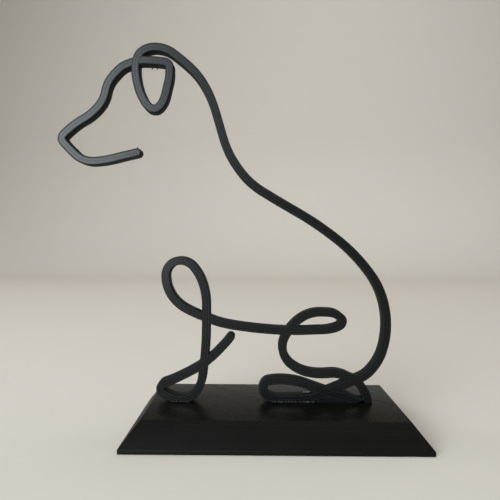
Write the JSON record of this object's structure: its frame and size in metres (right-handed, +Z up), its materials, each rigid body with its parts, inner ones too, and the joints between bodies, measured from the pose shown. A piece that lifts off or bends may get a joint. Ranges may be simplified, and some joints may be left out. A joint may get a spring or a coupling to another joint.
{
  "type": "one-line dog figurine",
  "caption": "Sitting dog drawn in one continuous line, a flat black stroke that loops through ear, knee and feet, standing on a low sloped rectangular plinth.",
  "frame": {"origin": "middle of the plinth's flat underside", "axes": "+Z up, +X from the dog's muzzle to its haunch along the plinth, -Y the front that the line's rounded edges face"},
  "size_m": [0.2094, 0.0916, 0.2258],
  "materials": {
    "plinth": "black printed plastic, faintly glossy top",
    "line": "black printed plastic with fine print lines",
    "glue": "set clear glue over black plastic"
  },
  "bodies": {
    "root": {"plinth": "plinth", "dog_line": "line", "front_paw_glue": "glue", "rear_foot_glue": "glue", "toe_loop_glue": "glue"}
  },
  "joints": []
}
